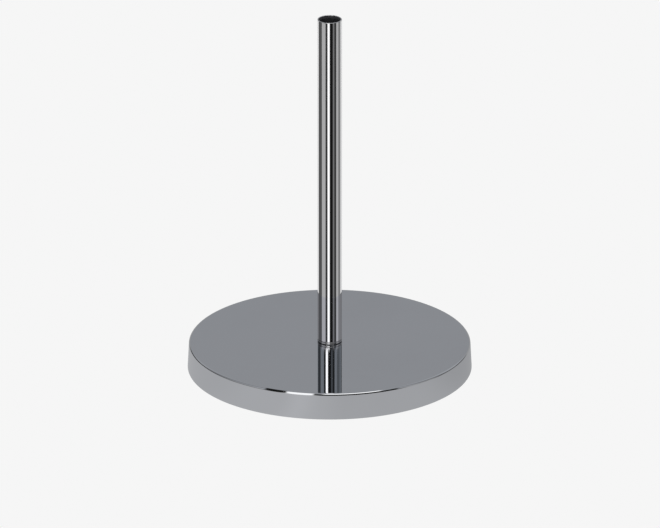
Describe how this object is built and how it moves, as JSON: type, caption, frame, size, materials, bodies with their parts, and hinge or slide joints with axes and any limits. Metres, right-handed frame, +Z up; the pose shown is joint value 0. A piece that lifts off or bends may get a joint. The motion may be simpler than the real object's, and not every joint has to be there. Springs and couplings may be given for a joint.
{
  "type": "flag pole stand",
  "caption": "Round chromed floor stand with a weighted base and one upright tube, whose open top guides a slim flag pole down to a rubber seat.",
  "frame": {"origin": "centre of the face that rests on the floor", "axes": "+Z up along the tube; +X to the right and +Y to the back of the stand"},
  "size_m": [0.3, 0.3, 0.39],
  "materials": {
    "cover_chrome": "mirror-bright chrome plate on pressed steel",
    "tube_chrome": "mirror-bright chrome plate on steel tube",
    "cast_iron": "sand cast, with a thin black primer",
    "zinc_sheet": "zinc-plated sheet with a faint spangle",
    "screw_steel": "bright zinc plate",
    "bolt_steel": "bright zinc plate",
    "spring_steel": "oiled spring steel",
    "plug_steel": "turned and brazed",
    "floor_rubber": "matt moulded rubber",
    "seat_rubber": "matt moulded rubber",
    "gasket_plastic": "matt sheet",
    "bush_nylon": "turned nylon"
  },
  "bodies": {
    "root": {"base_cover": "cover_chrome", "ballast_disc": "cast_iron", "base_plate": "zinc_sheet", "plate_screws": "screw_steel", "floor_ring": "floor_rubber", "centre_bolt": "bolt_steel", "spring_washer": "spring_steel", "flat_washer": "bolt_steel", "foot_gasket": "gasket_plastic", "foot_ring": "tube_chrome", "upright_tube": "tube_chrome", "tube_plug": "plug_steel", "pole_seat": "seat_rubber", "guide_bush": "bush_nylon"}
  },
  "joints": []
}
